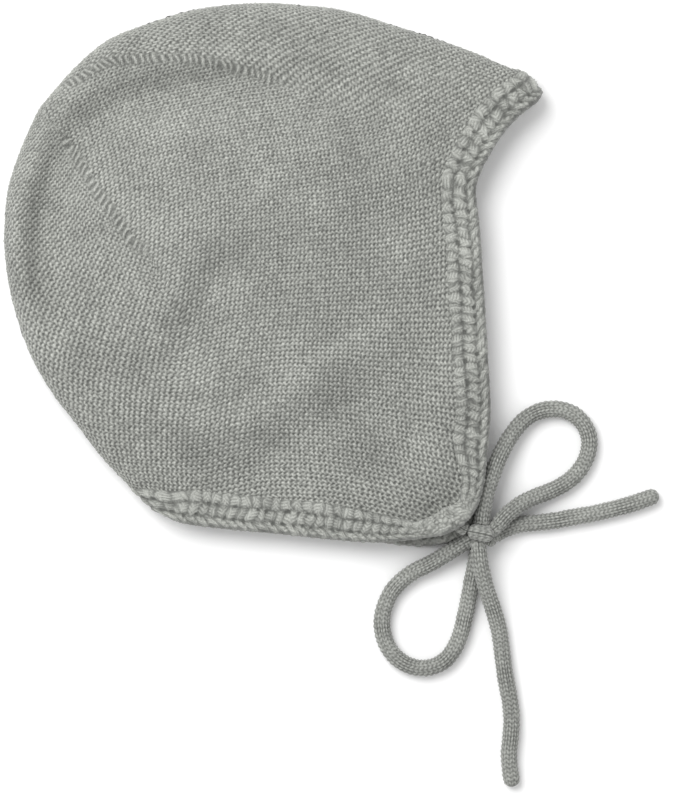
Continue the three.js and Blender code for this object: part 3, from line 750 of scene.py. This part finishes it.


# Colour of each yarn and of the painted shade in its gaps, relief over which it goes from one to the
# other, fineness of its fibres, and strength of its flecks
knit_yarn = yarn_material("knit_yarn", (0.428, 0.437, 0.406), (0.084, 0.087, 0.08), (-0.1, 1.1), 1900, 0.42)
border_yarn = yarn_material("border_yarn", (0.404, 0.413, 0.384), (0.1, 0.103, 0.095), (0, 0.9), 1500, 0.3)
cord_yarn = yarn_material("cord_yarn", (0.362, 0.37, 0.346), (0.085, 0.088, 0.081), (-0.08, 0.95), 1700, 0.4)


# Camera, first of all, and then the cords

camera_data = bpy.data.cameras.new("camera")
camera_data.sensor_width = SENSOR
camera_data.lens = SENSOR * (CAMERA_DISTANCE - VIEW_PLANE) / VIEW_HEIGHT
camera_data.clip_end = 20
camera = bpy.data.objects.new("camera", camera_data)
camera.location = Vector((VIEW_MIDDLE[0], VIEW_MIDDLE[1], CAMERA_DISTANCE)) * MM
bpy.context.collection.objects.link(camera)
bpy.context.scene.camera = camera


def even_steps(route, spacing):
    """Points along a smooth line through a route, evenly spaced, and the run of each."""
    line = centripetal(route)[1]
    run = line_run(line)
    count = max(4, int(round(run[-1] / spacing)))
    at = np.linspace(0, run[-1], count + 1)
    return np.stack([np.interp(at, run, line[:, k]) for k in range(3)], axis=1), at


def carried_frames(path):
    """Directions across a path, carried along it without twist, starting with up."""
    runs = np.gradient(path, axis=0)
    runs /= np.linalg.norm(runs, axis=1, keepdims=True)
    sides, ups = [], []
    up = np.array([0.0, 0.0, 1.0])
    for run in runs:
        up = up - run * (up @ run)
        up /= np.linalg.norm(up)
        ups.append(up)
        sides.append(np.cross(run, up))
        up = 0.9 * up + np.array([0.0, 0.0, 0.1])
    return np.array(sides), np.array(ups)


def cord_relief(turns, run, twist):
    """Relief of a knitted cord: columns of V-shaped stitches round it."""
    count = turns * CORD_WALES + run * twist
    wale = np.floor(count)
    x = count - wale - 0.5
    phase = run / CORD_STITCH + CORD_SLANT * np.abs(x) + 0.22 * scatter(wale, 0, 5)
    stitch_index = np.floor(phase)
    leg = 0.5 + 0.5 * np.cos(2 * np.pi * (phase - stitch_index - 0.5))
    ridge = np.clip(1.0 - (4 * np.abs(np.abs(x) - 0.25)) ** 2, 0, 1)
    lively = 0.8 + 0.4 * scatter(wale, stitch_index, np.sign(x) + 2)
    return np.clip(ridge**0.7 * (0.35 + 0.65 * leg) * lively, 0, 1.15)


def tube(name, route, diameter, relief, around=CORD_AROUND, groove=None, twist=0.0,
         round_start=False, round_end=False):
    """A knitted tube along a route. Gives the object and the middles of its rings."""
    path, run = even_steps(route, CORD_SPACING)
    sides, ups = carried_frames(path)
    turns = np.arange(around) / around
    angle = 2 * np.pi * turns[None, :]
    height = cord_relief(turns[None, :], run[:, None], twist)
    radius = np.full(height.shape, diameter / 2 - relief * 0.62) + relief * height
    if groove is not None:
        start, end, where, depth = groove
        hold = smooth((run - start) / GROOVE_FADE) * smooth((end - run) / GROOVE_FADE)
        off = np.mod(turns[None, :] - where + 0.5, 1.0) - 0.5
        radius = radius - depth * hold[:, None] * np.exp(-((off / GROOVE_WIDTH) ** 2))
    reach = diameter / 2
    ends = np.ones(len(run))
    if round_end:
        ends *= quarter_arc((run[-1] - run) / reach + 0.004)
    if round_start:
        ends *= quarter_arc(run / reach + 0.004)
    radius = radius * ends[:, None]
    circle = (np.sin(angle) * radius)[..., None] * sides[:, None, :]
    circle = circle + (np.cos(angle) * radius)[..., None] * ups[:, None, :]
    points = (path[:, None, :] + circle).reshape(-1, 3)
    points = np.vstack([points, path[0], path[-1]])
    quads = grid_quads(len(path), around, closed=True, flip=True)
    uv = np.broadcast_arrays(turns[None, :] * CORD_WALES, run[:, None] / CORD_STITCH)
    uv = np.stack(uv, axis=-1).reshape(-1, 2)
    uv = np.vstack([uv, uv[:1], uv[-1:]])
    shade = np.append(height.ravel(), [0.5, 0.5])
    j = np.arange(0, around, 2)
    base = (len(path) - 1) * around
    corners = [j, (j + 1) % around, (j + 2) % around]
    first = np.stack([*corners, np.full(len(j), len(points) - 2)], axis=-1)
    last = np.stack([*(base + c for c in corners[::-1]), np.full(len(j), len(points) - 1)], axis=-1)
    thing = mesh_object(name, points, np.vstack([quads, first, last]), uv, shade)
    return thing, path


for name, route in CORD_ROUTES.items():
    length, far_end, twist, groove = CORD_FACTS[name]
    piece, path = tube(
        name + "_cord", route, CORD_DIAMETER, CORD_RELIEF, groove=groove, twist=twist,
        round_end=far_end == "bare",
    )
    finish_piece(piece, [name], cord_yarn)


# The knot

def joined(name, things):
    """One object from several, in their order."""
    bpy.ops.object.select_all(action="DESELECT")
    for thing in things:
        thing.select_set(True)
    bpy.context.view_layer.objects.active = things[0]
    bpy.ops.object.join()
    things[0].name = name
    return things[0]


def knot_tube(name, offsets, diameter):
    route = [tuple(KNOT_MIDDLE + np.array(offset)) for offset in offsets]
    return tube(
        name, route, diameter, TIGHT_RELIEF, around=TIGHT_AROUND, round_start=True, round_end=True,
    )[0]


knot = joined("knot", [knot_tube("knot_" + key, *values) for key, values in KNOT_TUBES.items()])
finish_piece(knot, ["tie_knot"], cord_yarn)

lead, _ = tube(
    "near_lead_cord", LEAD_ROUTE, LEAD_TIGHTNESS * LEAD_DIAMETER, TIGHT_RELIEF, around=TIGHT_AROUND,
)
finish_piece(lead, ["near_lead"], cord_yarn)


# The knitted cloth

def stretched(count, length, reach, arc):
    """Shares from 0 to 1 that crowd where the cloth turns down at the start."""
    run = np.linspace(0, length - reach + arc, count)
    angle = np.clip(run / arc, 0, 1) * math.pi / 2
    return np.where(run < arc, reach * (1 - np.cos(angle)), reach + run - arc) / length


def layer_grid(side, columns, rows):
    """Points in the flat over a layer, from the back fold and the neck to the peak."""
    def edge_in(share):
        return inside_edge(side, share, border_width(side, share) - KNIT_OVERLAP)

    inner_width = EDGING_WIDTH - KNIT_OVERLAP
    start, end = (float(fold_crossing(inner_width, at_neck)) for at_neck in (False, True))
    reach = NEAR_ROLL if side == "near" else FAR_ROLL
    arc = roll_radius(reach) * math.pi / 2
    u = stretched(columns, GRID_LENGTHS[0], reach, arc)
    v = 1 - stretched(rows, GRID_LENGTHS[1], reach, arc)[::-1]
    top = fold.at(BACK_CORNER + (start - BACK_CORNER) * u)
    bottom = edge_in(1 + (CORNER_SHARE - 1) * u)
    left = fold.at(end + (BACK_CORNER - end) * v)
    right = edge_in(CORNER_SHARE * (1 - v))
    u, v = u[None, :, None], v[:, None, None]
    flat = (1 - v) * bottom[None] + v * top[None] + (1 - u) * left[:, None] + u * right[:, None]
    flat = flat - (1 - u) * (1 - v) * bottom[0] - u * (1 - v) * bottom[-1]
    return flat - (1 - u) * v * top[0] - u * v * top[-1]


def shaping_relief(points):
    """Slanted ridges along the two shaping lines, and how much they take the place of stitches."""
    relief = np.zeros(points.shape[:-1])
    cover = np.zeros(points.shape[:-1])
    for route in SHAPING_LINES.values():
        line = centripetal(route)[1]
        step = max(1, len(line) // SHAPING_SAMPLES)
        line, run = line[::step], line_run(line)[::step]
        near = (np.abs(points - line.mean(axis=0)) < SHAPING_BOX).all(axis=-1)
        part = points[near]
        closest = ((part[:, None, :] - line[None]) ** 2).sum(axis=2).argmin(axis=1)
        offset = part - line[closest]
        far = np.sqrt((offset**2).sum(axis=1))
        tangent = np.gradient(line, axis=0)[closest]
        tangent /= np.linalg.norm(tangent, axis=1, keepdims=True)
        side = tangent[:, 0] * offset[:, 1] - tangent[:, 1] * offset[:, 0]
        loose = wander(part[:, 0], part[:, 1], 2.6, 61)
        slant = run[closest] / SHAPING_PITCH + side * SHAPING_SLANT + 0.35 * loose
        wave = (0.5 + 0.5 * np.cos(2 * np.pi * slant)) ** 1.6
        ends = smooth(run[closest] / 4) * smooth((run[-1] - run[closest]) / 4)
        hold = np.exp(-((far / (SHAPING_SPREAD * (1 + 0.3 * loose))) ** 4)) * ends
        relief[near] = np.maximum(relief[near], hold * wave)
        cover[near] = np.maximum(cover[near], hold)
    return relief, cover


def knit_layer(side, columns, rows):
    """Places of the cloth's outer face with its stitches, their counts and their relief."""
    flat = layer_grid(side, columns, rows)
    x, y = flat[..., 0], flat[..., 1]
    base = Surface(side, flat)
    counts = stitch_counts(base.unrolled)
    for strength, reach, seed in STRAYING:
        stray = [wander(x, y, reach, seed + k) for k in (0, 1)]
        counts = counts + strength * np.stack(stray, axis=-1)
    relief = stitch_height(counts, 0.05 * smooth(behind_back_line(base.unrolled) / 10))
    relief = np.clip(relief + YARN_NOISE[0] * wander(x, y, YARN_NOISE[1], 13), 0, 1.2)
    rise = STITCH_RELIEF * (relief - 0.5)
    if side == "near":
        ridges, cover = shaping_relief(flat)
        rise = rise * (1 - 0.6 * cover) + SHAPING_RISE * (ridges - 0.4) * cover
        # this relief also sets the painted shade, dark between the ridges
        relief = relief * (1 - 0.7 * cover) + 0.7 * cover * (0.12 + 0.85 * ridges)
        rise = rise + CLOTH_NOISE[0] * wander(x, y, CLOTH_NOISE[1], 7)
        from_edge = open_edge["near"].nearest(flat)[0]
        rise = rise - KNIT_SINK * (1 - smooth((from_edge - EDGING_WIDTH + 2.2) / 2.4))
    else:
        rise = np.where(base.places[..., 2] < 1.0, STITCH_RELIEF * (relief - 1.2), rise)
    places = base.places + base.normals * rise[..., None]
    places[..., 2] = np.maximum(places[..., 2], CLEARANCE)
    return places, counts, relief


def strips(name, places, counts, relief, pieces, flip, nodes):
    """The same grid as a few objects side by side, so that none has too many faces."""
    edges = np.linspace(0, places.shape[0] - 1, pieces + 1).round().astype(int)
    for k, (low, high) in enumerate(zip(edges[:-1], edges[1:])):
        part = slice(low, high + 1)
        rows = high + 1 - low
        quads = grid_quads(rows, places.shape[1], flip=flip)
        label = f"{name}_{k + 1}" if pieces > 1 else name
        thing = mesh_object(
            label, places[part].reshape(-1, 3), quads, counts[part].reshape(-1, 2), relief[part].ravel(),
        )
        finish_piece(thing, nodes, knit_yarn)


near_places, near_counts, near_relief = knit_layer("near", *NEAR_GRID)
strips("near_knit", near_places, near_counts, near_relief, 3, False, ["knit_body"])
far_places, far_counts, far_relief = knit_layer("far", *FAR_GRID)
at_fold = smooth(1 - fold.nearest(far_places[..., :2])[0] / 0.6)
far_places[..., 2] += 0.5 * at_fold  # the far layer's edge is tucked in under the near layer's
strips("far_knit", far_places, far_counts, far_relief, 1, True, ["knit_body"])

for side, flip in (("near", True), ("far", False)):
    base = Surface(side, layer_grid(side, *INNER_GRID))
    counts = stitch_counts(base.unrolled)
    relief = stitch_height(counts)
    inner = base.places - base.normals * (KNIT_WALL - 0.2 * relief)[..., None]
    strips(f"{side}_inside", inner, counts, relief, 1, flip, ["knit_body"])


# The crochet border

def bobbles(along, depth):
    """Relief of the border's rows of stitches, from 0 in the pits to about 1."""
    bend = 0.75 * wander(along, depth, 1.9, 21)
    total = np.zeros(along.shape)
    for number, (middle, reach, pitch, height, slant) in enumerate(BORDER_ROWS):
        x = (along + bend) / pitch + 0.37 * number + slant * (depth - middle) / pitch
        cell = np.floor(x)
        chance = [scatter(cell, 0, number + seed) for seed in (41, 53, 67, 79)]
        u = 2 * (x - cell - 0.5)
        v = np.clip((depth + 0.7 * bend - middle) / (reach * (0.9 + 0.25 * chance[1])), -1, 1)
        lump = (0.36 + 0.64 * np.cos(np.pi / 2 * u) ** 0.75) * np.cos(np.pi / 2 * v) ** 0.6
        lean = np.where(u * (1 if number else -1) > 0, 0.75, -0.75) + 1.5 * (chance[2] - 0.5)
        over = (x - cell - 0.5) * pitch * np.cos(lean) + (depth - middle) * np.sin(lean)
        strands = 0.5 + 0.5 * np.cos(2 * np.pi * over / STRAND_PITCH + 6 * chance[3])
        total = np.maximum(total, height * (0.75 + 0.45 * chance[0]) * lump * (0.52 + 0.48 * strands))
    for number, (middle, pitch) in enumerate(BORDER_PITS):
        x = (along + bend) / pitch + 0.61 * number
        cell = np.floor(x)
        chance = [scatter(cell, 0, number + seed) for seed in (101, 113, 127)]
        off = (x - cell - 0.5 + 0.4 * (chance[0] - 0.5)) * pitch
        far = off**2 + (depth - middle + 1.2 * (chance[1] - 0.5)) ** 2
        total = total - 0.6 * chance[2] * np.exp(-far / 0.32)
    return np.clip(total, 0, 1.2)


def tufts(along, within):
    """Relief of the looser stitches in the curl, by run along the border and place across it."""
    swirl = 1.3 * wander(along, within, 2.4, 33)
    row = np.floor((within + swirl) / TUFT_ROW)
    x = (along + 1.1 * wander(along, within, 2.2, 35)) / TUFT_PITCH + 0.5 * np.mod(row, 2)
    cell = np.floor(x)
    u, v = 2 * (x - cell - 0.5), 2 * ((within + swirl) / TUFT_ROW - row - 0.5)
    lean = 3.1 * scatter(cell, row, 7)
    over = (x - cell) * TUFT_PITCH * np.cos(lean) + (v + 1) * 0.7 * np.sin(lean)
    strands = 0.5 + 0.5 * np.cos(2 * np.pi * over / STRAND_PITCH)
    lump = np.cos(np.pi / 2 * u) * np.cos(np.pi / 2 * v) * (0.6 + 0.4 * strands)
    relief = 0.38 + 0.5 * lump * (0.6 + 0.8 * scatter(cell, row, 9))
    return relief + 0.2 * wander(along, within, 1.2, 37)


def border_relief(along, across, width, loose):
    """Relief of the border's stitches, which turn into tufts as it curls."""
    along, depth, within = np.broadcast_arrays(along, across * EDGING_WIDTH, across * width)
    return bobbles(along, depth) * (1 - loose) + tufts(along, within) * loose


def border_side(side, share, across):
    """Base surface of one side's border, from its inner edge to the open edge."""
    width = border_width(side, share)
    inner = inside_edge(side, share, width)
    outer = open_edge[side].at(share)
    at_neck = share > 0.5
    crossing = fold_crossing(width, at_neck)
    end = np.where(at_neck, 1.0, 0.0)
    on_fold = fold.at(crossing[:, None] + (end - crossing)[:, None] * across)
    first, last = fold.at(crossing)[:, None], fold.at(end)[:, None]
    straight = first * (1 - across[:, None]) + last * across[:, None]
    turn = 1 - smooth(np.where(at_neck, 1 - share, share) / FAN_SHARE)
    flat = inner[:, None] * (1 - across[:, None]) + outer[:, None] * across[:, None]
    return Surface(side, flat + (on_fold - straight) * turn[:, None, None])


def crochet_border():
    """The border all round the open edge, as a closed ring of points at each station along it."""
    near_count = int(open_edge["near"].length / BORDER_SPACING)
    far_count = int(open_edge["far"].length / FAR_BORDER_SPACING)
    shares = {"near": np.linspace(0, 1, near_count), "far": np.linspace(1, 0, far_count + 2)[1:-1]}
    across = np.linspace(0, 1, BORDER_ACROSS)
    bases = {side: border_side(side, share, across) for side, share in shares.items()}
    places = np.concatenate([bases[side].places for side in shares])
    normals = np.concatenate([bases[side].normals for side in shares])
    outwards = np.concatenate([-open_edge[side].inward(share) for side, share in shares.items()])
    rolls = [open_edge[side].column(ROLL, share) for side, share in shares.items()]
    curl = CORNER_ROLL * np.concatenate(rolls)
    places[near_count:, :, 2] += FAR_CORNER_LIFT * curl[near_count:, None] / CORNER_ROLL
    curl[near_count:] = 0
    near_length, far_length = open_edge["near"].length, open_edge["far"].length
    run = np.concatenate([shares["near"] * near_length, near_length + (1 - shares["far"]) * far_length])
    free = np.maximum(normals[..., 2], 0)
    width = np.concatenate([border_width(*pair) for pair in shares.items()])[:, None]
    loose = smooth(curl / CORNER_ROLL * 1.6 - 0.2)[:, None]
    relief = border_relief(run[:, None], across[None], width, loose)
    dome = np.sqrt(np.clip(4 * across * (1 - across), 0, 1))[None]
    rise = EDGING_PROUD * free + curl[:, None] * (0.1 + 0.9 * dome) * free
    rise = rise + BORDER_RELIEF * (relief - 0.62)
    rise = rise - 0.6 * np.clip(0.05 - across, 0, 1)[None] / 0.05
    rise = rise - 0.9 * (np.clip(across - 0.95, 0, 1)[None] / 0.05) ** 2
    top = places + normals * rise[..., None]
    thickness = EDGING_THICKNESS + 0.5 * curl[:, None] * free
    picked = np.linspace(BORDER_ACROSS - 1, 0, BORDER_UNDER).round().astype(int)
    under_relief = border_relief(run[:, None] + 1.3, across[None], width, 0.0)
    under = places - normals * (thickness + 0.8 * (under_relief - 0.6))[..., None]
    rim = places[:, -1] - normals[:, -1] * 0.45 * thickness[:, -1:]
    rim[:, :2] += outwards * (0.35 + 0.5 * relief[:, -4])[:, None] * np.abs(normals[:, -1, 2:])
    ring = np.concatenate([top, rim[:, None], under[:, picked]], axis=1)
    ring[..., 2] = np.maximum(ring[..., 2], CLEARANCE)
    count = ring.shape[1]
    # painted shade: the rim, where the border turns under, takes 0.8 of the relief beside it and so is
    # coloured darker
    shade = np.concatenate([relief, relief[:, -4:-3] * 0.8, under_relief[:, picked]], axis=1)
    uv = np.stack(np.broadcast_arrays(run[:, None], np.linspace(0, 15, count)[None]), axis=-1)
    ring = np.concatenate([ring, ring[:1]])
    shade = np.concatenate([shade, shade[:1]])
    uv = np.concatenate([uv, uv[:1]])
    quads = grid_quads(len(ring), count, closed=True, flip=True)
    return mesh_object("crochet_border", ring.reshape(-1, 3), quads, uv.reshape(-1, 2), shade.ravel())


finish_piece(crochet_border(), ["face_edging", "neck_edging"], border_yarn)


# The floor and the lights

floor_mesh = bpy.data.meshes.new("floor")
corners = [(x * FLOOR_HALF, y * FLOOR_HALF, 0) for x, y in ((-1, -1), (1, -1), (1, 1), (-1, 1))]
floor_mesh.from_pydata(corners, [], [(0, 1, 2, 3)])
floor = bpy.data.objects.new("floor", floor_mesh)
floor.location.z = -FLOOR_DROP
floor_mesh.materials.append(plain_material("white_floor", (0.93, 0.93, 0.93)))
bpy.context.collection.objects.link(floor)

bpy.context.scene.view_settings.view_transform = "Standard"
world = bpy.data.worlds.new("studio")
world.use_nodes = True
world.node_tree.nodes["Background"].inputs["Color"].default_value = (1, 1, 1, 1)
world.node_tree.nodes["Background"].inputs["Strength"].default_value = WORLD_STRENGTH
bpy.context.scene.world = world


def area_light(name, place, aim, size, power):
    data = bpy.data.lights.new(name, "AREA")
    data.shape = "DISK"
    data.size = size
    data.energy = power
    light = bpy.data.objects.new(name, data)
    light.location = Vector(place)
    light.rotation_euler = (Vector(aim) - Vector(place)).to_track_quat("-Z", "Y").to_euler()
    bpy.context.collection.objects.link(light)


area_light("key", place=(-0.56, 0.64, 1.35), aim=(0.02, -0.02, 0), size=1.15, power=21)
